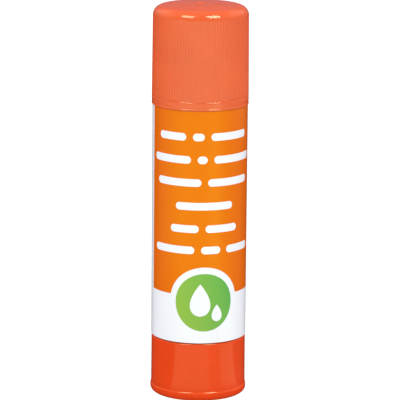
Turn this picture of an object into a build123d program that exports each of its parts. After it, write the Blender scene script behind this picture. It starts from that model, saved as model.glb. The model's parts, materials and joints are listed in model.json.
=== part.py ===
from build123d import *
import math
import os

# A twist-up glue stick standing upright with its cap on, in millimetres.
# +Z is up, the origin is the centre of the foot, and the front of the label faces -Y.

# Glue and the carrier that lifts it
glue_radius = 7.6
glue_recess = 2.0
glue_edge_radius = 0.9
glue_fit = 0.05
cup_wall = 0.5
cup_height = 8.8
carrier_floor = 1.2
carrier_web = 0.8
carrier_gap = 0.4
carrier_clearance = 0.2
hub_wall = 1.2
hub_height = 6.4
fin_thickness = 0.7
fin_height = 6.0
fin_edge_gap = 1.2

# Lead screw, with a left-hand thread so that a clockwise turn seen from below lifts the glue
thread_lead = 5.0
full_turns = 9
thread_core_radius = 1.9
thread_depth = 0.9
thread_crest_width = 1.2
thread_flank = 0.5
thread_clearance = 0.2
thread_run_out = 1.2
screw_tip = 1.0
screw_tip_radius = 1.2
screw_pass_clearance = 0.35
journal_clearance = 0.1
flange_grip = 0.4
flange_thickness = 1.2
flange_chamfer = 0.6
flange_gap = 0.2
shank_flats = 4.4
shank_clearance = 0.05
shank_end_gap = 0.3
glue_tip_gap = 1.0

# Barrel
neck_wall = 0.9
neck_length = 13.3
mouth_margin = 1.0
mouth_edge_radius = 0.3
shoulder_step = 1.25
shoulder_thickness = 1.2
body_wall = 1.2
web_rise = 1.2
web_thickness = 1.4
spigot_length = 3.6
spigot_wall = 0.7
guide_count = 8
key_count = 4
key_width = 1.0
key_clearance = 0.25
key_stop = 4.0
between_keys = 180 / key_count
bead_height = 0.12
bead_width = 0.9
lower_bead_rise = 2.5
upper_bead_rise = 9.0

# Label
label_bond = 0.01
label_thickness = 0.07
label_lower_margin = 0.1
label_upper_margin = 0.15
label_seam_width = 0.4
label_seam_angle = 165.0

# Knob
knob_height = 13.2
knob_gap = 0.2
knob_step = 0.08
knob_flare = 0.25
knob_wall = 1.27
knob_floor = 1.5
knob_clearance = 0.15
knob_foot_radius = 1.6
knob_rim_radius = 0.25
foot_recess_depth = 0.5
foot_land = 1.1
boss_wall = 1.6
boss_gap = 0.2
knob_rib_count = 8
knob_rib_thickness = 0.8
knob_rib_gap = 1.0

# Cap
cap_gap = 0.2
cap_clearance = 0.05
cap_wall = 1.33
cap_draft = 0.17
cap_headroom = 7.4
cap_top_thickness = 1.6
cap_crown_rise = 0.6
cap_shoulder_radius = 2.1
cap_rim_band = 1.6
cap_rim_edge = 0.15
cap_mouth_chamfer = 0.3
rib_count = 100
rib_depth = 0.16
rib_land_rise = 0.12
rib_top_drop = 1.7
seal_wall = 0.95
seal_clearance = 0.2
seal_glue_gap = 0.4
dimple_radius = 1.1
dimple_depth = 0.25

# How far every cut runs past the face that it opens
overrun = 0.5

# Heights, from the foot up
knob_floor_top = foot_recess_depth + knob_floor
barrel_bottom = knob_height + knob_gap
web_bottom = barrel_bottom + web_rise
web_top = web_bottom + web_thickness
spigot_bottom = barrel_bottom - spigot_length
boss_top = web_bottom - boss_gap
flange_bottom = web_top + flange_gap
thread_bottom = flange_bottom + flange_thickness
carrier_bottom = thread_bottom + carrier_gap
carrier_floor_top = carrier_bottom + hub_height
carrier_floor_bottom = carrier_floor_top - carrier_floor
cup_rim = carrier_floor_top + cup_height
travel = full_turns * thread_lead
mouth = cup_rim + travel + mouth_margin
body_top = mouth - neck_length
glue_top = mouth - glue_recess
thread_top = carrier_bottom + travel + hub_height - thread_run_out
screw_top = thread_top + screw_tip
cap_bottom = body_top + cap_gap
cap_ceiling = mouth + cap_headroom
cap_top = cap_ceiling + cap_top_thickness

# Radii, from the axis out
thread_crest_radius = thread_core_radius + thread_depth
web_hole_radius = thread_crest_radius + screw_pass_clearance
journal_radius = web_hole_radius - journal_clearance
flange_radius = web_hole_radius + flange_grip
socket_flats = shank_flats + 2 * shank_clearance
boss_radius = socket_flats / math.sqrt(3) + boss_wall
hub_radius = thread_crest_radius + thread_clearance + hub_wall
cup_inner_radius = glue_radius + glue_fit
carrier_radius = cup_inner_radius + cup_wall
bore_radius = carrier_radius + carrier_clearance
key_radius = glue_radius + key_clearance
neck_radius = bore_radius + neck_wall
barrel_radius = neck_radius + shoulder_step
body_inner_radius = barrel_radius - body_wall
label_inner_radius = barrel_radius + label_bond
label_radius = label_inner_radius + label_thickness
knob_top_radius = barrel_radius - knob_step
knob_bottom_radius = knob_top_radius + knob_flare
knob_bore_radius = knob_top_radius - knob_wall
spigot_radius = knob_bore_radius - knob_clearance
cap_bore_radius = neck_radius + bead_height + cap_clearance
cap_rim_radius = cap_bore_radius + cap_wall
cap_crown_radius = cap_rim_radius - cap_draft
seal_radius = bore_radius - seal_clearance

UPRIGHT = (Align.CENTER, Align.CENTER, Align.MIN)


def disc(radius, low, high):
    """A round disc or rod on the axis, between two heights."""
    return Pos(0, 0, low) * Cylinder(radius, high - low, align=UPRIGHT)


def ring(inner, outer, low, high):
    """A round ring on the axis, between two heights."""
    return disc(outer, low, high) - disc(inner, low - overrun, high + overrun)


def hexagon(flats, low, high):
    """A six-sided rod on the axis, given across its flats."""
    outline = RegularPolygon(flats / math.sqrt(3), 6)
    return Pos(0, 0, low) * extrude(outline, high - low)


def blades(inner, outer, width, low, high, count, first_angle):
    """Upright radial blades round the axis, from one radius out to another."""
    length = outer - inner
    blade = Pos(inner + length / 2, 0, low) * Box(length, width, high - low, align=UPRIGHT)
    return [Rot(0, 0, first_angle + 360 * turn / count) * blade for turn in range(count)]


def top_edge(solid):
    """The highest round edge of a solid."""
    return solid.edges().filter_by(GeomType.CIRCLE).sort_by(Axis.Z)[-1]


def thread(growth, low, high):
    """The left-hand thread with its core, grown all round for the nut's cutter."""
    core = thread_core_radius + growth
    crest = thread_crest_radius + growth
    crest_angle = math.tau * (thread_crest_width / 2 + growth) / thread_lead
    root_angle = crest_angle + math.tau * thread_flank / thread_lead

    def point(radius, angle):
        return (radius * math.cos(angle), radius * math.sin(angle), 0)

    section = Wire([
        Edge.make_three_point_arc(point(crest, -crest_angle), point(crest, 0), point(crest, crest_angle)),
        Edge.make_line(point(crest, crest_angle), point(core, root_angle)),
        Edge.make_three_point_arc(point(core, root_angle), point(core, math.pi), point(core, -root_angle)),
        Edge.make_line(point(core, -root_angle), point(crest, -crest_angle)),
    ])
    height = high - low
    twist = -360 * height / thread_lead
    return Pos(0, 0, low) * Solid.extrude_linear_with_rotation(section, (0, 0, 0), (0, 0, height), twist)


def make_twist_knob():
    """The base cup that is turned: a shell with a foot ring, a central boss and stiffening ribs."""
    knob = Cone(knob_bottom_radius, knob_top_radius, knob_height, align=UPRIGHT)
    rims = knob.edges().filter_by(GeomType.CIRCLE).sort_by(Axis.Z)
    knob = fillet(rims[0], knob_foot_radius)
    knob = fillet(top_edge(knob), knob_rim_radius)
    foot_inner_radius = knob_bottom_radius - knob_foot_radius - foot_land
    knob -= disc(foot_inner_radius, -overrun, foot_recess_depth)
    knob -= disc(knob_bore_radius, knob_floor_top, knob_height + overrun)
    knob += disc(boss_radius, knob_floor_top, boss_top)
    rib_top = spigot_bottom - knob_rib_gap
    outer = (knob_bore_radius + knob_top_radius) / 2
    for rib in blades(0, outer, knob_rib_thickness, knob_floor_top, rib_top, knob_rib_count, 0):
        knob += rib
    return knob - hexagon(socket_flats, knob_floor_top, boss_top + overrun)


def make_lead_screw():
    """The spindle: a hexagonal shank, a journal, a snap flange and the coarse thread."""
    screw = hexagon(shank_flats, knob_floor_top + shank_end_gap, boss_top)
    screw += disc(journal_radius, boss_top, flange_bottom)
    flange = disc(flange_radius, flange_bottom, thread_bottom)
    screw += chamfer(top_edge(flange), flange_chamfer)
    screw += thread(0, thread_bottom, thread_top)
    tip = Cone(thread_core_radius, screw_tip_radius, screw_tip, align=UPRIGHT)
    return screw + Pos(0, 0, thread_top) * tip


def make_barrel():
    """The tube: body, shoulder, neck with its two beads, web, spigot, guide ribs and keys."""
    body = ring(body_inner_radius, barrel_radius, barrel_bottom, body_top)
    body += ring(bore_radius, body_inner_radius + overrun, body_top - shoulder_thickness, body_top)
    neck = disc(neck_radius, body_top - shoulder_thickness, mouth)
    neck = fillet(top_edge(neck), mouth_edge_radius)
    body += neck - disc(bore_radius, body_top - shoulder_thickness - overrun, mouth + overrun)
    body += ring(web_hole_radius, body_inner_radius + overrun, web_bottom, web_top)
    body += ring(spigot_radius - spigot_wall, spigot_radius, spigot_bottom, web_bottom)
    body += ring(spigot_radius - spigot_wall, body_inner_radius + overrun, barrel_bottom, web_bottom)
    for rise in (lower_bead_rise, upper_bead_rise):
        body += bead(body_top + rise)
    guide_shell = ring(bore_radius, body_inner_radius + overrun, web_top, body_top - shoulder_thickness)
    for guide in blades(0, barrel_radius, key_width, web_top, body_top, guide_count, 0):
        body += guide & guide_shell
    key_top = mouth - key_stop
    key_shell = ring(key_radius, bore_radius + neck_wall / 2, web_top, key_top)
    for key in blades(0, barrel_radius, key_width, web_top, key_top, key_count, 0):
        body += key & key_shell
    return body


def bead(height):
    """A low rounded ring on the neck that the cap's bore rubs on."""
    low = (neck_radius, height - bead_width / 2)
    crest = (neck_radius + bead_height, height)
    high = (neck_radius, height + bead_width / 2)
    root = neck_radius - neck_wall / 2
    outline = [ThreePointArc(low, crest, high), Polyline(high, (root, high[1]), (root, low[1]), low)]
    return revolve(Plane.XZ * make_face(outline), Axis.Z)


def make_label():
    """The printed film round the barrel, with its seam towards the back."""
    film = ring(
        label_inner_radius, label_radius, barrel_bottom + label_lower_margin, body_top - label_upper_margin
    )
    reach = label_radius + overrun
    seam = Box(reach, label_seam_width, mouth, align=(Align.MIN, Align.CENTER, Align.MIN))
    return film - Rot(0, 0, label_seam_angle) * seam


def make_glue_carrier():
    """The cup that climbs the screw: threaded hub, floor, cup wall, skirt, fins and key slots."""
    cup = ring(cup_inner_radius, carrier_radius, carrier_bottom, cup_rim)
    cup += disc(carrier_radius, carrier_floor_bottom, carrier_floor_top)
    cup += disc(hub_radius, carrier_bottom, carrier_floor_top)
    outer = (cup_inner_radius + carrier_radius) / 2
    for web in blades(0, outer, carrier_web, carrier_bottom, carrier_floor_bottom, key_count, between_keys):
        cup += web
    for fin in glue_fins(fin_thickness):
        cup += fin
    slot_width = key_width + 2 * key_clearance
    reach = carrier_radius + overrun
    slot_low = carrier_bottom - overrun
    slot_high = cup_rim + overrun
    for slot in blades(key_radius - key_clearance, reach, slot_width, slot_low, slot_high, key_count, 0):
        cup -= slot
    return cup - thread(thread_clearance, thread_bottom, carrier_floor_top + overrun)


def glue_fins(thickness):
    """Upright fins on the carrier's floor that anchor the glue cast round them."""
    fin_top = carrier_floor_top + fin_height
    return blades(
        hub_radius, cup_inner_radius - fin_edge_gap, thickness, carrier_floor_top - carrier_floor / 2,
        fin_top, key_count, between_keys,
    )


def make_glue_stick():
    """The cast glue: a round stick with a softened top and a blind bore for the screw."""
    glue = disc(glue_radius, carrier_floor_top, glue_top)
    glue = fillet(top_edge(glue), glue_edge_radius)
    bore_radius_in_glue = thread_crest_radius + thread_clearance + glue_fit
    glue -= disc(bore_radius_in_glue, carrier_floor_top - overrun, screw_top + glue_tip_gap)
    for fin in glue_fins(fin_thickness + 2 * glue_fit):
        glue -= fin
    return glue


def make_cap():
    """The cap: a drafted ribbed shell with a smooth rim band, a crowned top and a seal skirt."""
    crown_edge = cap_top - cap_crown_rise
    band_top = cap_bottom + cap_rim_band
    shoulder = (cap_crown_radius, crown_edge)
    rim = (cap_rim_radius, cap_bottom)
    profile = make_face([
        TangentArc((0, cap_top), shoulder, tangent=(1, 0)),
        Polyline(shoulder, rim, (0, cap_bottom), (0, cap_top)),
    ])
    profile = fillet(profile.vertices().sort_by_distance(shoulder)[0], cap_shoulder_radius)
    profile = fillet(profile.vertices().sort_by_distance(rim)[0], cap_rim_edge)
    cap = revolve(Plane.XZ * profile, Axis.Z)
    cap -= rib_grooves(band_top, crown_edge - rib_top_drop)
    cap -= disc(cap_bore_radius, cap_bottom - overrun, cap_ceiling)
    lead_in = Cone(cap_bore_radius + cap_mouth_chamfer, cap_bore_radius, cap_mouth_chamfer, align=UPRIGHT)
    cap -= Pos(0, 0, cap_bottom) * lead_in
    cap += ring(seal_radius - seal_wall, seal_radius, glue_top + seal_glue_gap, cap_ceiling + overrun)
    dimple_sphere = (dimple_radius**2 + dimple_depth**2) / (2 * dimple_depth)
    return cap - Pos(0, 0, cap_top - dimple_depth + dimple_sphere) * Sphere(dimple_sphere)


def rib_grooves(low, high):
    """The ring of material between the cap's ribs, as one cutter with a toothed inside."""
    valley = cap_crown_radius - rib_depth
    crest = cap_crown_radius + rib_land_rise
    points = []
    for step in range(2 * rib_count):
        radius = crest if step % 2 else valley
        angle = math.pi * step / rib_count
        points.append((radius * math.cos(angle), radius * math.sin(angle)))
    ribbed = Pos(0, 0, low) * extrude(make_face(Polyline(*points, close=True)), high - low)
    return disc(cap_rim_radius + overrun, low, high) - ribbed


nodes = {
    "twist_knob": make_twist_knob(),
    "lead_screw": make_lead_screw(),
    "barrel": make_barrel(),
    "label": make_label(),
    "glue_carrier": make_glue_carrier(),
    "glue_stick": make_glue_stick(),
    "cap": make_cap(),
}

os.makedirs("parts", exist_ok=True)
for name, shape in nodes.items():
    export_step(shape, f"parts/{name}.step")
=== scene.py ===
import json
import math
import bpy
from mathutils import Euler, Matrix, Vector


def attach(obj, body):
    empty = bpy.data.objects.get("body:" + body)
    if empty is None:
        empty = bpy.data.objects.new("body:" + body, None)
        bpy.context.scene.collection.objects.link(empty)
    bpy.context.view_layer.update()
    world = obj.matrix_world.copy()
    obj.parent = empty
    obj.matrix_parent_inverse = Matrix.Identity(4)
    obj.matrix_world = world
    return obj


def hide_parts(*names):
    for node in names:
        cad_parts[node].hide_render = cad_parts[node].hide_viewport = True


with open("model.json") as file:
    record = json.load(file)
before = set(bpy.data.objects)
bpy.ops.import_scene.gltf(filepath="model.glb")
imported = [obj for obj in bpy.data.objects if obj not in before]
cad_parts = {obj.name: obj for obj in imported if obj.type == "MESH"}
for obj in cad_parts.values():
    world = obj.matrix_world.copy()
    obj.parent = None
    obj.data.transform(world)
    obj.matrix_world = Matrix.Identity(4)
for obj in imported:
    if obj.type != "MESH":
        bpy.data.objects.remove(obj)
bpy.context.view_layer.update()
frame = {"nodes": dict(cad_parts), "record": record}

# Twist knob
# The real knob is a cup moulded in red-orange polypropylene, with a narrow foot ring under it.
# A boss inside grips the screw's hexagonal shank, and the rim turns on the barrel's spigot.
mm = 0.001
knob_height = 13.2 * mm
knob_rim_radius = 10.5 * mm
knob_foot_radius = 10.71 * mm
knob_bore_radius = 9.15 * mm
knob_floor_height = 2.0 * mm
knob_foot_rounding = 1.25 * mm
knob_ledge_height = 1.9 * mm
knob_ledge_width = 0.16 * mm
knob_ledge_rise = 0.19 * mm
knob_ledge_rounding = 0.6 * mm
foot_recess_radius = 7.97 * mm
foot_recess_depth = 0.5 * mm
knob_boss_radius = 4.2 * mm
knob_socket_flats = 4.5 * mm
knob_rib_height = 6.8 * mm
knob_rib_thickness = 0.8 * mm
knob_rib_count = 8
gate_nub_radius = 0.8 * mm
gate_nub_drop = 0.12 * mm
knob_boss_top = 14.4 * mm
knob_rim_rounding = 0.25 * mm
knob_wall_set_back = 0.001 * mm
knob_wall_set_up = 0.1 * mm
knob_sides = 192
small_rounding = 0.15 * mm
small_rounding_steps = 4
wide_rounding = 0.5 * mm
wide_rounding_steps = 12
long_run = 1.2 * mm
edge_support = 0.12 * mm
same_place = 0.0001 * mm
knob_red = (0.78, 0.061, 0.010, 1)


def softened(corners):
    """Rings of (radius, height) from corners of (radius, height, rounding).

    One more ring stands at each end of a long run, so that the wall is shaded straight.
    """
    outline = []
    for index, (radius, height, rounding) in enumerate(corners):
        here = Vector((radius, height))
        if not rounding:
            outline.append((radius, height))
            continue
        run_back = Vector(corners[index - 1][:2]) - here
        run_ahead = Vector(corners[(index + 1) % len(corners)][:2]) - here
        back = run_back.normalized()
        ahead = run_ahead.normalized()
        half = back.angle(ahead) / 2
        reach = rounding / math.tan(half)
        centre = here + (back + ahead).normalized() * rounding / math.sin(half)
        first = here + back * reach - centre
        last = here + ahead * reach - centre
        start = math.atan2(first.y, first.x)
        turn = (math.atan2(last.y, last.x) - start + math.pi) % math.tau - math.pi
        steps = small_rounding_steps if rounding < wide_rounding else wide_rounding_steps
        if run_back.length > long_run + reach:
            outline.append(tuple(here + back * (reach + edge_support)))
        for step in range(steps + 1):
            angle = start + turn * step / steps
            outline.append((centre.x + rounding * math.cos(angle), centre.y + rounding * math.sin(angle)))
        if run_ahead.length > long_run + reach:
            outline.append(tuple(here + ahead * (reach + edge_support)))
    return outline


def turned(name, sides, outline):
    """A turned piece: a circle at the outline's first ring, extruded and resized ring by ring."""
    bpy.ops.object.select_all(action="DESELECT")
    radius, height = outline[0]
    bpy.ops.mesh.primitive_circle_add(vertices=sides, radius=radius)
    piece = bpy.context.object
    piece.name = piece.data.name = name
    bpy.ops.object.mode_set(mode="EDIT")
    bpy.ops.mesh.select_mode(type="VERT")
    bpy.ops.mesh.select_all(action="SELECT")
    bpy.ops.transform.translate(value=(0, 0, height))
    for ring_radius, ring_height in outline[1:]:
        bpy.ops.mesh.extrude_region_move(TRANSFORM_OT_translate={"value": (0, 0, ring_height - height)})
        grow = ring_radius / radius
        bpy.ops.transform.resize(value=(grow, grow, 1), center_override=(0, 0, ring_height))
        radius, height = ring_radius, ring_height
    bpy.ops.object.mode_set(mode="OBJECT")
    return piece


def pick(piece, kind, wanted):
    """Edit mode with just those vertices or faces selected that the test wants."""
    bpy.ops.object.mode_set(mode="EDIT")
    bpy.ops.mesh.select_mode(type=kind)
    bpy.ops.mesh.select_all(action="DESELECT")
    bpy.ops.object.mode_set(mode="OBJECT")
    for item in (piece.data.vertices if kind == "VERT" else piece.data.polygons):
        item.select = wanted(item)
    bpy.ops.object.mode_set(mode="EDIT")


def close_start(piece, outline):
    """A centred fan that closes the hole inside the outline's first ring."""
    radius, height = outline[0]
    pick(piece, "VERT", lambda v: abs(v.co.z - height) < same_place and v.co.xy.length < 1.01 * radius)
    bpy.ops.mesh.edge_face_add()
    bpy.ops.mesh.poke()
    bpy.ops.object.mode_set(mode="OBJECT")


def tidied(piece, smooth_angle=35):
    """Doubles merged, faces turned outwards, and smooth shading up to an angle in degrees."""
    bpy.ops.object.select_all(action="DESELECT")
    bpy.context.view_layer.objects.active = piece
    piece.select_set(True)
    bpy.ops.object.mode_set(mode="EDIT")
    bpy.ops.mesh.select_all(action="SELECT")
    bpy.ops.mesh.remove_doubles(threshold=same_place)
    bpy.ops.mesh.normals_make_consistent(inside=False)
    bpy.ops.object.mode_set(mode="OBJECT")
    bpy.ops.object.shade_smooth_by_angle(angle=math.radians(smooth_angle))
    return piece


def combined(piece, tool, operation):
    """The piece with a second solid cut out of it or joined on, and that solid deleted."""
    step = piece.modifiers.new(operation.lower(), "BOOLEAN")
    step.operation = operation
    step.solver = "EXACT"
    step.object = tool
    bpy.ops.object.select_all(action="DESELECT")
    bpy.context.view_layer.objects.active = piece
    piece.select_set(True)
    bpy.ops.object.modifier_apply(modifier=step.name)
    bpy.data.objects.remove(tool, do_unlink=True)


def moulded_plastic(name, colour, roughness, gloss, tint, glow_weight, glow_radius, marks):
    """Moulded plastic: faint flow clouds, an uneven sheen, a fine skin and rubbed scuffs.

    The tint colours the gloss, the glow is light that sinks in, and marks says how pale the scuffs are.
    """
    darker, paler = 0.955, 1.03
    scuff_white = 0.35
    glossier, duller = 0.88, 1.2
    skin_depth = 0.02 * mm
    glow_depth = 1.0 * mm

    material = bpy.data.materials.new(name)
    material.use_nodes = True
    nodes, links = material.node_tree.nodes, material.node_tree.links
    shader = nodes["Principled BSDF"]
    place = nodes.new("ShaderNodeTexCoord")

    clouds = nodes.new("ShaderNodeTexNoise")
    clouds.inputs["Scale"].default_value = 160
    clouds.inputs["Detail"].default_value = 3
    links.new(place.outputs["Object"], clouds.inputs["Vector"])
    flow = nodes.new("ShaderNodeValToRGB")
    flow.color_ramp.elements[0].position = 0.3
    flow.color_ramp.elements[1].position = 0.7
    flow.color_ramp.elements[0].color = [part * darker for part in colour[:3]] + [1]
    flow.color_ramp.elements[1].color = [min(1, part * paler) for part in colour[:3]] + [1]
    links.new(clouds.outputs["Fac"], flow.inputs["Fac"])

    scuffs = nodes.new("ShaderNodeTexNoise")
    scuffs.inputs["Scale"].default_value = 1400
    scuffs.inputs["Detail"].default_value = 6
    scuffs.inputs["Roughness"].default_value = 0.7
    links.new(place.outputs["Object"], scuffs.inputs["Vector"])
    worn = nodes.new("ShaderNodeMapRange")
    worn.inputs["From Min"].default_value = 0.64
    worn.inputs["From Max"].default_value = 0.78
    worn.inputs["To Max"].default_value = marks
    links.new(scuffs.outputs["Fac"], worn.inputs["Value"])
    rubbed = nodes.new("ShaderNodeMix")
    rubbed.data_type = "RGBA"
    rubbed.inputs["B"].default_value = [scuff_white + (1 - scuff_white) * part for part in colour[:3]] + [1]
    links.new(worn.outputs["Result"], rubbed.inputs["Factor"])
    links.new(flow.outputs["Color"], rubbed.inputs["A"])
    links.new(rubbed.outputs["Result"], shader.inputs["Base Color"])

    sheen = nodes.new("ShaderNodeMapRange")
    sheen.inputs["From Min"].default_value = 0.3
    sheen.inputs["From Max"].default_value = 0.75
    sheen.inputs["To Min"].default_value = roughness * glossier
    sheen.inputs["To Max"].default_value = roughness * duller
    links.new(scuffs.outputs["Fac"], sheen.inputs["Value"])
    links.new(sheen.outputs["Result"], shader.inputs["Roughness"])

    skin = nodes.new("ShaderNodeTexNoise")
    skin.inputs["Scale"].default_value = 5200
    skin.inputs["Detail"].default_value = 2
    links.new(place.outputs["Object"], skin.inputs["Vector"])
    bump = nodes.new("ShaderNodeBump")
    bump.inputs["Strength"].default_value = 0.05
    bump.inputs["Distance"].default_value = skin_depth
    links.new(skin.outputs["Fac"], bump.inputs["Height"])
    links.new(bump.outputs["Normal"], shader.inputs["Normal"])

    shader.inputs["Subsurface Weight"].default_value = glow_weight
    shader.inputs["Subsurface Radius"].default_value = glow_radius
    shader.inputs["Subsurface Scale"].default_value = glow_depth
    shader.inputs["IOR"].default_value = 1.49
    shader.inputs["Specular IOR Level"].default_value = gloss
    shader.inputs["Specular Tint"].default_value = tint
    return material


def finish_piece(piece, node, material):
    """The piece in its material, on the node's own body and in the node's place."""
    piece.data.materials.clear()
    piece.data.materials.append(material)
    body = next(body for body, nodes in frame["record"]["behaviour"]["bodies"].items() if node in nodes)
    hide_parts(node)
    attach(piece, body)


wall_foot_radius = knob_foot_radius - knob_ledge_width
wall_foot_height = knob_ledge_height + knob_ledge_rise
knob_outline = softened([
    (gate_nub_radius, foot_recess_depth - gate_nub_drop, 0),
    (gate_nub_radius, foot_recess_depth, 0),
    (foot_recess_radius, foot_recess_depth, small_rounding),
    (foot_recess_radius, 0, small_rounding),
    (knob_foot_radius, 0, knob_foot_rounding),
    (knob_foot_radius, knob_ledge_height, knob_ledge_rounding),
    (wall_foot_radius, wall_foot_height, 0),
    (wall_foot_radius - knob_wall_set_back, wall_foot_height + knob_wall_set_up, 0),
    (knob_rim_radius, knob_height, knob_rim_rounding),
    (knob_bore_radius, knob_height, small_rounding),
    (knob_bore_radius, knob_floor_height, small_rounding),
    (knob_boss_radius, knob_floor_height, small_rounding),
    (knob_boss_radius, knob_boss_top, small_rounding),
    (0, knob_boss_top, 0),
])
knob = turned("knob_shell", knob_sides, knob_outline)
close_start(knob, knob_outline)
tidied(knob)

rib_reach = knob_bore_radius - knob_boss_radius + 2 * small_rounding
rib_middle = (knob_bore_radius + knob_boss_radius) / 2
rib_middle_height = knob_floor_height + knob_rib_height / 2
blades = []
for rib in range(knob_rib_count):
    bearing = math.tau * rib / knob_rib_count
    bpy.ops.mesh.primitive_cube_add(size=1, rotation=(0, 0, bearing), location=(
        rib_middle * math.cos(bearing), rib_middle * math.sin(bearing), rib_middle_height,
    ))
    blade = bpy.context.object
    blade.scale = (rib_reach, knob_rib_thickness, knob_rib_height + small_rounding)
    blades.append(blade)
for blade in blades:
    blade.select_set(True)
bpy.ops.object.join()
combined(knob, bpy.context.object, "UNION")
bpy.ops.mesh.primitive_cylinder_add(
    vertices=6, radius=knob_socket_flats / math.sqrt(3), depth=knob_height,
    location=(0, 0, knob_floor_height + knob_height / 2),
)
combined(knob, bpy.context.object, "DIFFERENCE")
tidied(knob)
knob_plastic = moulded_plastic(
    "knob_plastic", knob_red, roughness=0.07, gloss=0.55, tint=(0.9, 1, 0.55, 1),
    glow_weight=0.12, glow_radius=(1.0, 0.25, 0.08), marks=0.1,
)
finish_piece(knob, "twist_knob", knob_plastic)

# Lead screw
# The spindle is moulded in natural white acetal and pressed into the knob, so it turns with it.
# Its coarse left-hand thread stays out of sight inside the barrel and the glue.
screw_white = (0.80, 0.80, 0.77, 1)
white_gloss = (1, 1, 1, 1)
white_glow = (1, 0.95, 0.9)
screw_plastic = moulded_plastic(
    "screw_plastic", screw_white, roughness=0.42, gloss=0.5, tint=white_gloss,
    glow_weight=0.1, glow_radius=white_glow, marks=0.05,
)
screw = frame["nodes"]["lead_screw"]
screw.data.materials.clear()
screw.data.materials.append(screw_plastic)

# Barrel
# The barrel is a white polypropylene tube: a body for the label, a narrower neck for the cap,
# and inside it a web for the screw, guide ribs, and four keys that stop the carrier from turning.
web_hole_radius = 3.15 * mm
web_underside = 14.6 * mm
web_top = 16.0 * mm
spigot_inner_radius = 8.3 * mm
spigot_radius = 9.0 * mm
spigot_foot = 9.8 * mm
barrel_foot = 13.4 * mm
barrel_radius = 10.5 * mm
barrel_inner_radius = 9.3 * mm
barrel_shoulder = 65.7 * mm
shoulder_underside = 64.5 * mm
neck_radius = 9.25 * mm
bore_radius = 8.35 * mm
mouth_height = 79.0 * mm
key_radius = 7.85 * mm
key_top = 75.0 * mm
bead_height = 0.12 * mm
bead_half_width = 0.45 * mm
lower_bead_rise = 2.5 * mm
upper_bead_rise = 9.0 * mm
barrel_sides = 180
guide_count = 8
key_count = 4
faces_across_rib = 3
barrel_white = (0.83, 0.83, 0.815, 1)


def neck_bead(height):
    """The rings of one low rounded bead that the cap rubs on."""
    steps = 6
    return [(
        neck_radius + bead_height * math.sin(math.pi * step / steps),
        height - bead_half_width * math.cos(math.pi * step / steps),
        0,
    ) for step in range(steps + 1)]


barrel_outline = softened([
    (web_hole_radius, web_underside, small_rounding),
    (spigot_inner_radius, web_underside, small_rounding),
    (spigot_inner_radius, spigot_foot, small_rounding),
    (spigot_radius, spigot_foot, small_rounding),
    (spigot_radius, barrel_foot, 0),
    (barrel_radius, barrel_foot, small_rounding),
    (barrel_radius, barrel_shoulder, small_rounding),
    (neck_radius, barrel_shoulder, small_rounding),
    *neck_bead(barrel_shoulder + lower_bead_rise),
    *neck_bead(barrel_shoulder + upper_bead_rise),
    (neck_radius, mouth_height, 2 * small_rounding),
    (bore_radius, mouth_height, small_rounding),
    (bore_radius, key_top, 0),
    (bore_radius, shoulder_underside, 0),
    (barrel_inner_radius, shoulder_underside, 0),
    (barrel_inner_radius, web_top, 0),
    (web_hole_radius, web_top, small_rounding),
])
barrel = turned("barrel_tube", barrel_sides, barrel_outline + barrel_outline[:1])
tidied(barrel)


def on_rib(face, radius, low, high, count):
    """Whether a face of the inner wall lies where one of the evenly spaced ribs stands."""
    pitch = 360 / count
    around = math.degrees(math.atan2(face.center.y, face.center.x)) % pitch
    half = 180 * faces_across_rib / barrel_sides
    on_wall = abs(face.center.xy.length - radius) < small_rounding / 2
    return on_wall and (around < half or around > pitch - half) and low < face.center.z < high


for wall_radius, crest_radius, low, high, count in (
    (barrel_inner_radius, bore_radius, web_top, shoulder_underside, guide_count),
    (bore_radius, key_radius, web_top, key_top, key_count),
):
    pick(barrel, "FACE", lambda face: on_rib(face, wall_radius, low, high, count))
    bpy.ops.mesh.extrude_region_move()
    sink = crest_radius / wall_radius
    bpy.ops.transform.resize(value=(sink, sink, 1), center_override=(0, 0, 0))
    bpy.ops.object.mode_set(mode="OBJECT")
tidied(barrel)
barrel_plastic = moulded_plastic(
    "barrel_plastic", barrel_white, roughness=0.3, gloss=0.5, tint=white_gloss,
    glow_weight=0.2, glow_radius=white_glow, marks=0.05,
)
finish_piece(barrel, "barrel", barrel_plastic)

# Label
# A gloss film printed in white, orange and green is wrapped once round the barrel and stuck down.
# Its ends meet in the white strip at the left. Rows of bars stand over a roundel with two drops.
label_radius = 10.58 * mm
label_thickness = 0.07 * mm
label_foot = 13.5 * mm
label_top = 65.7 * mm
label_seam_angle = math.radians(165)
label_seam_width = 0.4 * mm
label_steps = 240

label_middle = label_radius - label_thickness / 2
bpy.ops.object.select_all(action="DESELECT")
bpy.ops.mesh.primitive_plane_add(size=1, rotation=(math.pi / 2, 0, label_seam_angle), location=(
    label_middle * math.cos(label_seam_angle),
    label_middle * math.sin(label_seam_angle),
    (label_foot + label_top) / 2,
))
label = bpy.context.object
label.name = label.data.name = "label_film"
label.scale = (label_thickness, label_top - label_foot, 1)
bpy.ops.object.transform_apply(location=True, rotation=True, scale=True)
bpy.ops.object.mode_set(mode="EDIT")
bpy.ops.mesh.select_all(action="SELECT")
bpy.ops.mesh.spin(
    steps=label_steps, angle=math.tau - label_seam_width / label_radius, center=(0, 0, 0), axis=(0, 0, 1),
)
bpy.ops.object.mode_set(mode="OBJECT")
tidied(label)


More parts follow.
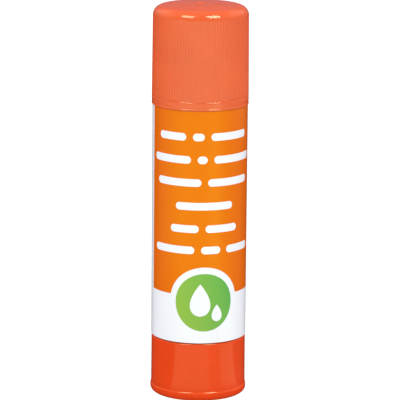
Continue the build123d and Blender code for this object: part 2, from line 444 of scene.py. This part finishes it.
class Ink:
    """Small sums on the label's print, in millimetres round it and up it."""

    def __init__(self, material):
        self.nodes, self.links = material.node_tree.nodes, material.node_tree.links

    def sum(self, operation, *values):
        """One Math node on numbers or sockets."""
        node = self.nodes.new("ShaderNodeMath")
        node.operation = operation
        for socket, value in zip(node.inputs, values):
            if isinstance(value, (int, float)):
                socket.default_value = value
            else:
                self.links.new(value, socket)
        return node.outputs["Value"]

    def inside(self, distance, blur=0.05):
        """1 where a distance is negative and 0 where it is positive, with a soft ink edge."""
        node = self.nodes.new("ShaderNodeMapRange")
        node.inputs["From Min"].default_value = blur / 2
        node.inputs["From Max"].default_value = -blur / 2
        self.links.new(distance, node.inputs["Value"])
        return node.outputs["Result"]

    def length(self, across, up):
        """The length of a line that far across and that far up."""
        squares = self.sum("MULTIPLY", across, across), self.sum("MULTIPLY", up, up)
        return self.sum("SQRT", self.sum("ADD", *squares))

    def bar(self, across, up, middle, height, half_length, half_height, corner):
        """The distance outside a bar with rounded corners."""
        from_middle = self.sum("ABSOLUTE", self.sum("SUBTRACT", across, middle))
        from_height = self.sum("ABSOLUTE", self.sum("SUBTRACT", up, height))
        past_end = self.sum("SUBTRACT", from_middle, half_length - corner)
        past_edge = self.sum("SUBTRACT", from_height, half_height - corner)
        reach = self.length(self.sum("MAXIMUM", past_end, 0.0), self.sum("MAXIMUM", past_edge, 0.0))
        return self.sum("SUBTRACT", reach, corner)

    def over(self, mask, below, above):
        """One ink printed over another; either may be a colour or a socket."""
        node = self.nodes.new("ShaderNodeMix")
        node.data_type = "RGBA"
        self.links.new(mask, node.inputs["Factor"])
        for name, colour in (("A", below), ("B", above)):
            if isinstance(colour, tuple):
                node.inputs[name].default_value = colour
            else:
                self.links.new(colour, node.inputs[name])
        return node.outputs["Result"]


def printed_film():
    """The label's print: an orange field on white, a green roundel with two drops, and rows of bars."""
    ink_white = (0.87, 0.892, 0.96, 1)
    ink_orange = (0.79, 0.138, 0.0, 1)
    ink_lime = (0.26, 0.47, 0.07, 1)
    ink_green = (0.10, 0.40, 0.085, 1)
    ink_grey = (0.45, 0.46, 0.48, 1)
    field_foot = 24.4
    strip_left, strip_right = -19.6, -14.5
    roundel_height, roundel_radius, halo_radius = 22.74, 6.55, 8.0
    bar_half_height = 0.85
    fade_lean = 0.35
    drop_trim = 0.05
    widest_swell = 0.385
    word_gap = 1.5
    rows = (
        (60.0, (7.0, 2.6, 10.0)), (54.9, (10.0, 2.2, 11.2)), (49.8, (11.0, 11.2)),
        (44.5, (13.3,)), (39.4, (6.6, 7.8)), (34.6, (10.4, 4.4, 7.6)),
    )
    panel_half_width, panel_height, panel_half_height, panel_corner = 9.5, 45.0, 14.0, 1.2
    line_count, line_pitch, line_margin = 8, 3.1, 3.2
    line_half_height, long_line, short_line = 0.36, 7.6, 4.8

    material = bpy.data.materials.new("label_film")
    material.use_nodes = True
    ink = Ink(material)
    nodes, links = ink.nodes, ink.links
    shader = nodes["Principled BSDF"]
    place = nodes.new("ShaderNodeTexCoord")
    split = nodes.new("ShaderNodeSeparateXYZ")
    links.new(place.outputs["Object"], split.inputs["Vector"])
    around = ink.sum("ARCTAN2", split.outputs["X"], ink.sum("MULTIPLY", split.outputs["Y"], -1.0))
    across = ink.sum("MULTIPLY", around, label_radius / mm)
    up = ink.sum("DIVIDE", split.outputs["Z"], mm)

    above_band = ink.inside(ink.sum("SUBTRACT", field_foot, up))
    right_of_strip = ink.sum("SUBTRACT", across, strip_right)
    left_of_strip = ink.sum("SUBTRACT", strip_left, across)
    off_strip = ink.sum("MAXIMUM", right_of_strip, left_of_strip)
    field = ink.sum("MULTIPLY", above_band, ink.inside(ink.sum("MULTIPLY", off_strip, -1.0)))
    colour = ink.over(field, ink_white, ink_orange)

    from_roundel = ink.length(across, ink.sum("SUBTRACT", up, roundel_height))
    colour = ink.over(ink.inside(ink.sum("SUBTRACT", from_roundel, halo_radius)), colour, ink_white)
    fade = nodes.new("ShaderNodeMapRange")
    fade.inputs["From Min"].default_value = -roundel_radius
    fade.inputs["From Max"].default_value = roundel_radius
    rise = ink.sum("SUBTRACT", up, roundel_height)
    lean = ink.sum("ADD", across, ink.sum("MULTIPLY", rise, fade_lean))
    links.new(lean, fade.inputs["Value"])
    green = ink.over(fade.outputs["Result"], ink_lime, ink_green)
    colour = ink.over(ink.inside(ink.sum("SUBTRACT", from_roundel, roundel_radius)), colour, green)

    for drop_across, drop_tip, drop_height, drop_width in (
        (-0.9, 27.0, 7.4, 2.35),
        (2.9, 22.3, 3.9, 1.25),
    ):
        depth = ink.sum("DIVIDE", ink.sum("SUBTRACT", drop_tip, up), drop_height)
        belly = ink.sum("SQRT", ink.sum("MAXIMUM", ink.sum("SUBTRACT", 1.0, depth), 0.0))
        swell = ink.sum("MULTIPLY", ink.sum("MAXIMUM", depth, 0.0), belly)
        half = ink.sum("MULTIPLY", swell, drop_width / widest_swell)
        beside = ink.sum("ABSOLUTE", ink.sum("SUBTRACT", across, drop_across))
        outside = ink.sum("ADD", ink.sum("SUBTRACT", beside, half), drop_trim)
        colour = ink.over(ink.inside(outside), colour, ink_white)

    for height, words in rows:
        start = -(sum(words) + word_gap * (len(words) - 1)) / 2
        for word in words:
            bar = ink.bar(across, up, start + word / 2, height, word / 2, bar_half_height, bar_half_height)
            colour = ink.over(ink.inside(bar), colour, ink_white)
            start += word + word_gap

    behind = ink.sum("SUBTRACT", math.pi * label_radius / mm, ink.sum("ABSOLUTE", across))
    panel = ink.bar(behind, up, 0.0, panel_height, panel_half_width, panel_half_height, panel_corner)
    colour = ink.over(ink.inside(panel), colour, ink_white)
    for line in range(line_count):
        height = panel_height + panel_half_height - line_margin - line_pitch * line
        half_length = long_line if line % 4 < 3 else short_line
        bar = ink.bar(behind, up, 0.0, height, half_length, line_half_height, line_half_height)
        colour = ink.over(ink.inside(bar), colour, ink_grey)
    links.new(colour, shader.inputs["Base Color"])

    fibre = nodes.new("ShaderNodeTexNoise")
    fibre.inputs["Scale"].default_value = 900
    fibre.inputs["Detail"].default_value = 5
    links.new(place.outputs["Object"], fibre.inputs["Vector"])
    sheen = nodes.new("ShaderNodeMapRange")
    sheen.inputs["From Min"].default_value = 0.3
    sheen.inputs["From Max"].default_value = 0.7
    sheen.inputs["To Min"].default_value = 0.12
    sheen.inputs["To Max"].default_value = 0.2
    links.new(fibre.outputs["Fac"], sheen.inputs["Value"])
    links.new(sheen.outputs["Result"], shader.inputs["Roughness"])
    bump = nodes.new("ShaderNodeBump")
    bump.inputs["Strength"].default_value = 0.1
    bump.inputs["Distance"].default_value = 0.005 * mm
    links.new(fibre.outputs["Fac"], bump.inputs["Height"])
    links.new(bump.outputs["Normal"], shader.inputs["Normal"])
    shader.inputs["Specular IOR Level"].default_value = 0.8
    shader.inputs["Specular Tint"].default_value = (0.75, 1, 0.1, 1)
    return material


finish_piece(label, "label", printed_film())

# Glue carrier
# The carrier is a white polypropylene cup with a threaded hub, slotted to ride on the barrel's keys.
# It climbs the screw with the glue cast into it, and shows only down the mouth.
carrier_plastic = moulded_plastic(
    "carrier_plastic", barrel_white, roughness=0.38, gloss=0.5, tint=white_gloss,
    glow_weight=0.2, glow_radius=white_glow, marks=0.05,
)
carrier = frame["nodes"]["glue_carrier"]
carrier.data.materials.clear()
carrier.data.materials.append(carrier_plastic)

# Glue stick
# The glue is a firm off-white soap-like gel, poured hot into the carrier and set as one stick.
# Its skin is waxy and a little uneven, and the poured end is softly rounded.
glue_radius = 7.6 * mm
glue_foot = 24.2 * mm
glue_top = 77.0 * mm
glue_bore_radius = 3.05 * mm
glue_bore_top = 70.0 * mm
glue_rounding = 0.9 * mm
glue_sides = 128
glue_cream = (0.86, 0.84, 0.76, 1)
glue_shade = (0.80, 0.77, 0.67, 1)

glue_outline = softened([
    (glue_radius / 6, glue_top, 0),
    (glue_radius / 2, glue_top, 0),
    (glue_radius, glue_top, glue_rounding),
    (glue_radius, glue_foot, small_rounding),
    (glue_bore_radius, glue_foot, small_rounding),
    (glue_bore_radius, glue_bore_top, small_rounding),
    (0, glue_bore_top, 0),
])
glue = turned("glue_body", glue_sides, glue_outline)
close_start(glue, glue_outline)
tidied(glue)


def set_glue():
    """Waxy glue: light that sinks in, faint clouds, and a skin with small dents from setting."""
    material = bpy.data.materials.new("glue")
    material.use_nodes = True
    nodes, links = material.node_tree.nodes, material.node_tree.links
    shader = nodes["Principled BSDF"]
    place = nodes.new("ShaderNodeTexCoord")
    clouds = nodes.new("ShaderNodeTexNoise")
    clouds.inputs["Scale"].default_value = 300
    clouds.inputs["Detail"].default_value = 4
    links.new(place.outputs["Object"], clouds.inputs["Vector"])
    tint = nodes.new("ShaderNodeValToRGB")
    tint.color_ramp.elements[0].position = 0.35
    tint.color_ramp.elements[0].color = glue_shade
    tint.color_ramp.elements[1].position = 0.65
    tint.color_ramp.elements[1].color = glue_cream
    links.new(clouds.outputs["Fac"], tint.inputs["Fac"])
    links.new(tint.outputs["Color"], shader.inputs["Base Color"])
    dents = nodes.new("ShaderNodeTexNoise")
    dents.inputs["Scale"].default_value = 1100
    dents.inputs["Detail"].default_value = 5
    links.new(place.outputs["Object"], dents.inputs["Vector"])
    bump = nodes.new("ShaderNodeBump")
    bump.inputs["Strength"].default_value = 0.5
    bump.inputs["Distance"].default_value = 0.06 * mm
    links.new(dents.outputs["Fac"], bump.inputs["Height"])
    links.new(bump.outputs["Normal"], shader.inputs["Normal"])
    sheen = nodes.new("ShaderNodeMapRange")
    sheen.inputs["To Min"].default_value = 0.35
    sheen.inputs["To Max"].default_value = 0.55
    links.new(dents.outputs["Fac"], sheen.inputs["Value"])
    links.new(sheen.outputs["Result"], shader.inputs["Roughness"])
    shader.inputs["Subsurface Weight"].default_value = 0.5
    shader.inputs["Subsurface Radius"].default_value = (1.0, 0.85, 0.6)
    shader.inputs["Subsurface Scale"].default_value = 1.5 * mm
    return material


finish_piece(glue, "glue_stick", set_glue())

# Cap
# The cap is moulded in the same red-orange polypropylene, thinner than the knob and so a little paler.
# Fine ribs give grip, the smooth rim band stiffens its mouth, and a skirt inside seals the neck.
cap_foot = 65.75 * mm
cap_top = 88.0 * mm
cap_crown_rise = 0.6 * mm
cap_crown_radius = 10.58 * mm
cap_rim_radius = 10.75 * mm
cap_shoulder_rounding = 2.1 * mm
cap_band_top = 67.5 * mm
cap_bore_radius = 9.42 * mm
cap_mouth_chamfer = 0.3 * mm
cap_ceiling = 86.4 * mm
seal_radius = 8.15 * mm
seal_inner_radius = 7.2 * mm
seal_foot = 77.4 * mm
dimple_floor_radius = 0.2 * mm
dimple_radius = 1.1 * mm
dimple_depth = 0.25 * mm
band_rounding = 0.5 * mm
lip_groove_depth = 0.06 * mm
lip_groove_rounding = 0.03 * mm
lip_rounding = 0.08 * mm
cap_inner_rounding = 0.1 * mm
ceiling_rounding = 0.3 * mm
seal_rounding = 0.2 * mm
rib_count = 100
groove_profile = (1.0, 0.5, 0, 0, 0, 0.5)
rib_depth = 0.085 * mm
rib_run_rings = 6
rib_fade_foot = 85.2 * mm
rib_fade_top = 85.9 * mm
cap_red = (0.79, 0.116, 0.034, 1)

crown_edge = cap_top - cap_crown_rise


def crown(radius):
    """The height of the cap's gently domed top at a radius."""
    return cap_top - cap_crown_rise * (radius / cap_crown_radius) ** 2


def cap_wall(height):
    """The radius of the cap's drafted outside at a height."""
    share = (height - cap_foot) / (crown_edge - cap_foot)
    return cap_rim_radius + (cap_crown_radius - cap_rim_radius) * share


lip_top = cap_foot + 0.32 * mm
lip_groove_height = cap_foot + 0.42 * mm
band_neck_height = cap_band_top + 0.17 * mm
band_neck_radius = cap_wall(cap_band_top) - 0.1 * mm
rib_foot = cap_band_top + 0.3 * mm
rib_pick_foot = cap_band_top + 0.25 * mm
rib_run_foot = cap_band_top + 0.6 * mm
rib_ring_gap = (rib_fade_foot - rib_run_foot) / rib_run_rings
rib_rings = [rib_foot, rib_run_foot]
rib_rings += [rib_run_foot + rib_ring_gap * step for step in range(1, rib_run_rings + 1)]
dimple_rings = ((0.55 * dimple_radius, 0.85 * dimple_depth), (0.85 * dimple_radius, 0.4 * dimple_depth))
crown_rings = (1.3 * mm, 2.5 * mm, 4.0 * mm, 5.5 * mm, 7.0 * mm)
cap_outline = softened([
    (dimple_floor_radius, cap_top - dimple_depth, 0),
    *[(radius, cap_top - depth, 0) for radius, depth in dimple_rings],
    (dimple_radius, crown(dimple_radius), 0),
    *[(radius, crown(radius), 0) for radius in crown_rings],
    (cap_crown_radius, crown_edge, cap_shoulder_rounding),
    *[(cap_wall(height), height, 0) for height in reversed(rib_rings)],
    (band_neck_radius, band_neck_height, 0),
    (cap_rim_radius, cap_band_top, band_rounding),
    (cap_rim_radius - lip_groove_depth, lip_groove_height, lip_groove_rounding),
    (cap_rim_radius, lip_top, lip_rounding),
    (cap_rim_radius, cap_foot, small_rounding),
    (cap_bore_radius + cap_mouth_chamfer, cap_foot, cap_inner_rounding),
    (cap_bore_radius, cap_foot + cap_mouth_chamfer, cap_inner_rounding),
    (cap_bore_radius, cap_ceiling, ceiling_rounding),
    (seal_radius, cap_ceiling, cap_inner_rounding),
    (seal_radius, seal_foot, seal_rounding),
    (seal_inner_radius, seal_foot, seal_rounding),
    (seal_inner_radius, cap_ceiling, cap_inner_rounding),
    (0, cap_ceiling, 0),
])
cap_sides = rib_count * len(groove_profile)
cap = turned("cap_shell", cap_sides, cap_outline)
close_start(cap, cap_outline)


def on_cap_wall(vertex, depth, low, high):
    """Whether a vertex of the outer wall lies between two heights and where a groove is that deep."""
    place = vertex.co
    if not (low < place.z < high and place.xy.length > (cap_bore_radius + cap_crown_radius) / 2):
        return False
    side = round(math.atan2(place.y, place.x) * cap_sides / math.tau)
    return groove_profile[side % len(groove_profile)] == depth


ring_gap = 0.01 * mm
ring_heights = {round(height, 7) for radius, height in cap_outline}
fade_rings = sorted(height for height in ring_heights if rib_fade_foot < height < rib_fade_top)
bands = [(rib_pick_foot, rib_fade_foot + ring_gap, 1.0)]
bands += [
    (height - ring_gap, height + ring_gap, (rib_fade_top - height) / (rib_fade_top - rib_fade_foot))
    for height in fade_rings
]
for low, high, share in bands:
    for depth in sorted(set(groove_profile) - {0}):
        pick(cap, "VERT", lambda vertex: on_cap_wall(vertex, depth, low, high))
        sink = 1 - share * depth * rib_depth / cap_wall((low + high) / 2)
        bpy.ops.transform.resize(value=(sink, sink, 1), center_override=(0, 0, 0))
        bpy.ops.object.mode_set(mode="OBJECT")
tidied(cap, smooth_angle=50)
cap_plastic = moulded_plastic(
    "cap_plastic", cap_red, roughness=0.1, gloss=0.6, tint=(0.85, 1, 0.65, 1),
    glow_weight=0.25, glow_radius=(1.0, 0.3, 0.1), marks=0.08,
)
finish_piece(cap, "cap", cap_plastic)

# Floor, lights and camera
# A white table in a white room that is brighter at the front, with four soft boxes for the gloss.
# Seen straight on, table and room are washed out to white, as in a cut-out picture. The gloss mirrors less:
# a dim room, and soft pools of painted light on the table round the front of the stick, which only the
# gloss sees.
table_size = 6.0
bpy.ops.object.select_all(action="DESELECT")
bpy.ops.mesh.primitive_plane_add(size=table_size)
table = bpy.context.object
table.name = "white_table"
table_top = bpy.data.materials.new("table_top")
table_top.use_nodes = True
nodes, links = table_top.node_tree.nodes, table_top.node_tree.links
surface = nodes["Principled BSDF"]
surface.inputs["Base Color"].default_value = (0.65, 0.65, 0.65, 1)
surface.inputs["Roughness"].default_value = 0.6

place = nodes.new("ShaderNodeTexCoord")
split = nodes.new("ShaderNodeSeparateXYZ")
links.new(place.outputs["Object"], split.inputs["Vector"])
front = nodes.new("ShaderNodeMath")
front.operation = "MULTIPLY"
front.inputs[1].default_value = -1
links.new(split.outputs["Y"], front.inputs[0])
turned_by = nodes.new("ShaderNodeMath")
turned_by.operation = "ARCTAN2"
links.new(split.outputs["X"], turned_by.inputs[0])
links.new(front.outputs["Value"], turned_by.inputs[1])
spread = nodes.new("ShaderNodeMapRange")
spread.inputs["From Min"].default_value = -math.pi
spread.inputs["From Max"].default_value = math.pi
links.new(turned_by.outputs["Value"], spread.inputs["Value"])
away_from_stick = nodes.new("ShaderNodeVectorMath")
away_from_stick.operation = "LENGTH"
links.new(place.outputs["Object"], away_from_stick.inputs[0])

# The knob mirrors the first pool of painted light, the label the second and the cap the third. They are
# emission on the table that only glossy rays see, and they paint sheen bands on the stick. Each fades in
# between two distances in millimetres, and has a tint and stops of (bearing in degrees, level).
camera_bearing = -6.9
painted_light_pool = None
for fade_start, fade_end, tint, stops in (
    (14, 24, (0.78, 0.8, 0.65), (
        (-56, 0), (-50, 1), (20, 1), (25, 0.5), (47, 0.5), (52, 1), (83, 1), (89, 0.15), (130, 0),
    )),
    (76, 150, (1.5, 1.55, 1.2), (
        (-119, 0), (-92, 0.3), (-40, 1), (17, 0.97), (26, 1.2), (41, 1.2), (66, 0.52), (92, 0.25), (130, 0),
    )),
    (300, 330, (1.5, 1.5, 1.4), (
        (-119, 0), (-92, 0.28), (-38, 0.95), (14, 0.95), (29, 1), (66, 0.55), (92, 0.35), (150, 0),
    )),
):
    ramp = nodes.new("ShaderNodeValToRGB")
    while len(ramp.color_ramp.elements) < len(stops):
        ramp.color_ramp.elements.new(1)
    for element, (bearing, level) in zip(ramp.color_ramp.elements, stops):
        element.position = (bearing + camera_bearing) / 360 + 0.5
        element.color = [part * level for part in tint] + [1]
    links.new(spread.outputs["Result"], ramp.inputs["Fac"])
    fade_in = nodes.new("ShaderNodeMapRange")
    fade_in.inputs["From Min"].default_value = fade_start * mm
    fade_in.inputs["From Max"].default_value = fade_end * mm
    links.new(away_from_stick.outputs["Value"], fade_in.inputs["Value"])
    layer = nodes.new("ShaderNodeMix")
    layer.data_type = "RGBA"
    layer.inputs["A"].default_value = (0, 0, 0, 1)
    if painted_light_pool:
        links.new(painted_light_pool.outputs["Result"], layer.inputs["A"])
    links.new(fade_in.outputs["Result"], layer.inputs["Factor"])
    links.new(ramp.outputs["Color"], layer.inputs["B"])
    painted_light_pool = layer
# A faint even painted glow under the pools, also seen only by glossy rays.
painted_sheen_floor = nodes.new("ShaderNodeMix")
painted_sheen_floor.data_type = "RGBA"
painted_sheen_floor.blend_type = "ADD"
painted_sheen_floor.inputs["Factor"].default_value = 1
painted_sheen_floor.inputs["B"].default_value = (0.03, 0.03, 0.03, 1)
links.new(painted_light_pool.outputs["Result"], painted_sheen_floor.inputs["A"])
# Painted light: the pools and the glow under them shine as emission for glossy rays only.
mirrored = nodes.new("ShaderNodeEmission")
links.new(painted_sheen_floor.outputs["Result"], mirrored.inputs["Color"])

washed = nodes.new("ShaderNodeEmission")
washed.inputs["Strength"].default_value = 1.3
ray = nodes.new("ShaderNodeLightPath")
wash = nodes.new("ShaderNodeMath")
wash.operation = "MULTIPLY"
wash.inputs[1].default_value = 0.8
links.new(ray.outputs["Is Camera Ray"], wash.inputs[0])
in_gloss = nodes.new("ShaderNodeMixShader")
links.new(ray.outputs["Is Glossy Ray"], in_gloss.inputs["Fac"])
links.new(surface.outputs["BSDF"], in_gloss.inputs[1])
links.new(mirrored.outputs["Emission"], in_gloss.inputs[2])
blend = nodes.new("ShaderNodeMixShader")
links.new(wash.outputs["Value"], blend.inputs["Fac"])
links.new(in_gloss.outputs["Shader"], blend.inputs[1])
links.new(washed.outputs["Emission"], blend.inputs[2])
links.new(blend.outputs["Shader"], nodes["Material Output"].inputs["Surface"])
table.data.materials.append(table_top)

room = bpy.data.worlds.new("pale_room")
bpy.context.scene.world = room
room.use_nodes = True
nodes, links = room.node_tree.nodes, room.node_tree.links
direction = nodes.new("ShaderNodeTexCoord")
split = nodes.new("ShaderNodeSeparateXYZ")
links.new(direction.outputs["Generated"], split.inputs["Vector"])
depth = nodes.new("ShaderNodeMapRange")
depth.inputs["From Min"].default_value = 1
depth.inputs["From Max"].default_value = -1
depth.inputs["To Min"].default_value = 0.76
depth.inputs["To Max"].default_value = 1.12
links.new(split.outputs["Y"], depth.inputs["Value"])
overhead = nodes.new("ShaderNodeMath")
overhead.operation = "MULTIPLY_ADD"
overhead.inputs[1].default_value = 0.66
links.new(split.outputs["Z"], overhead.inputs[0])
links.new(depth.outputs["Result"], overhead.inputs[2])
behind = nodes.new("ShaderNodeMapRange")
behind.inputs["From Min"].default_value = 0.4
behind.inputs["From Max"].default_value = 0.95
links.new(split.outputs["Y"], behind.inputs["Value"])
mirrored = nodes.new("ShaderNodeMix")
mirrored.data_type = "RGBA"
mirrored.inputs["A"].default_value = (0.4, 0.4, 0.3, 1)
mirrored.inputs["B"].default_value = (0.33, 0.175, 0.20, 1)
links.new(behind.outputs["Result"], mirrored.inputs["Factor"])
ray = nodes.new("ShaderNodeLightPath")
dimmed = nodes.new("ShaderNodeMix")
dimmed.data_type = "RGBA"
links.new(ray.outputs["Is Glossy Ray"], dimmed.inputs["Factor"])
links.new(overhead.outputs["Value"], dimmed.inputs["A"])
links.new(mirrored.outputs["Result"], dimmed.inputs["B"])
washed = nodes.new("ShaderNodeMix")
washed.data_type = "RGBA"
washed.inputs["B"].default_value = (1, 1, 1, 1)
links.new(ray.outputs["Is Camera Ray"], washed.inputs["Factor"])
links.new(dimmed.outputs["Result"], washed.inputs["A"])
links.new(washed.outputs["Result"], nodes["Background"].inputs["Color"])

target = Vector((0, 0, 44 * mm))
light_distance = 2.0
for name, bearing, rise, width, height, radiance in (
    ("front_left_box", -40, 50, 0.92, 0.85, 9),
    ("front_right_box", 40.5, 50, 0.92, 0.9, 13),
    ("side_left_box", -115, 35, 2.4, 1.2, 0.6),
    ("side_right_box", 115, 35, 2.4, 1.2, 0.6),
):
    light = bpy.data.lights.new(name, "AREA")
    light.shape = "RECTANGLE"
    light.size = width
    light.size_y = height
    light.energy = radiance * math.pi * width * height
    box = bpy.data.objects.new(name, light)
    bpy.context.scene.collection.objects.link(box)
    turn = math.radians(bearing + camera_bearing)
    lift = math.radians(rise)
    away = Vector((math.sin(turn) * math.cos(lift), -math.cos(turn) * math.cos(lift), math.sin(lift)))
    box.location = target + light_distance * away
    box.rotation_euler = away.to_track_quat("Z", "Y").to_euler()
    box.visible_diffuse = False

view_distance = 696.7 * mm
view_height = 196.3 * mm
view_offset = 0.144 * mm
view_pitch = 12.354
view_roll = 0.5
focal_length_px = 3200.4
frame_width_px = 400
eye = bpy.data.cameras.new("camera")
camera = bpy.data.objects.new("camera", eye)
bpy.context.scene.collection.objects.link(camera)
eye.sensor_width = 36
eye.lens = eye.sensor_width * focal_length_px / frame_width_px
bearing = math.radians(camera_bearing)
camera.location = (
    view_offset * math.cos(bearing) + view_distance * math.sin(bearing),
    view_offset * math.sin(bearing) - view_distance * math.cos(bearing),
    view_height,
)
aim = Euler((math.radians(90 - view_pitch), 0, bearing)).to_matrix()
roll = Matrix.Rotation(math.radians(view_roll), 3, "Z")
camera.rotation_euler = (aim @ roll).to_euler()
bpy.context.scene.camera = camera
bpy.context.scene.view_settings.view_transform = "Standard"
